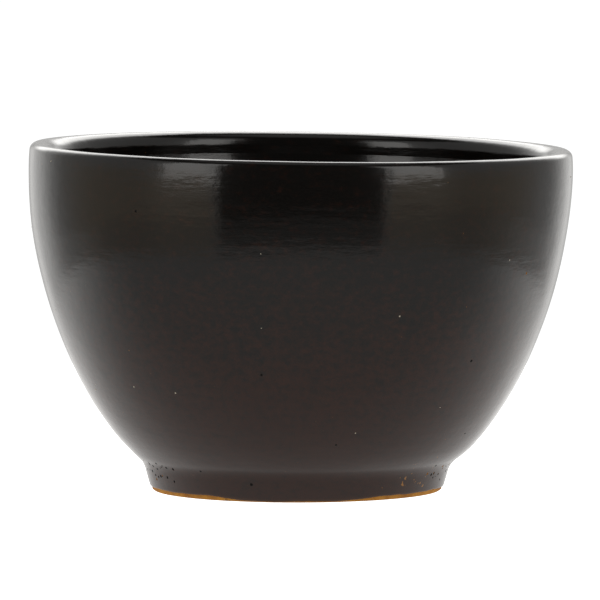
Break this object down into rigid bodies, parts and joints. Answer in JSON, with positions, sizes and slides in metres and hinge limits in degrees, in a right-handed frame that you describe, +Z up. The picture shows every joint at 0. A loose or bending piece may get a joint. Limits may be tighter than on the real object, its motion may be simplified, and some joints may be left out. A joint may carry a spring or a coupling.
{
  "type": "glazed clay bowl",
  "caption": "Deep round clay bowl on a low foot ring, glossy black-brown glaze inside and out, bare clay line at the foot.",
  "frame": {"origin": "middle of the standing face of the foot, on the table", "axes": "+Z up along the axis that the bowl was thrown about; the bowl is round, so +X and +Y are free"},
  "size_m": [0.15, 0.15, 0.095],
  "materials": {
    "clay": "bare fired earthenware, ochre brown, matt and finely gritty",
    "black_glaze": "glossy black-brown glaze with fine pinholes"
  },
  "bodies": {
    "root": {"thrown_bowl": "clay", "foot_ring": "clay", "slip_joint": "clay", "dip_glaze": "black_glaze", "liner_glaze": "black_glaze", "well_glaze": "black_glaze"}
  },
  "joints": []
}
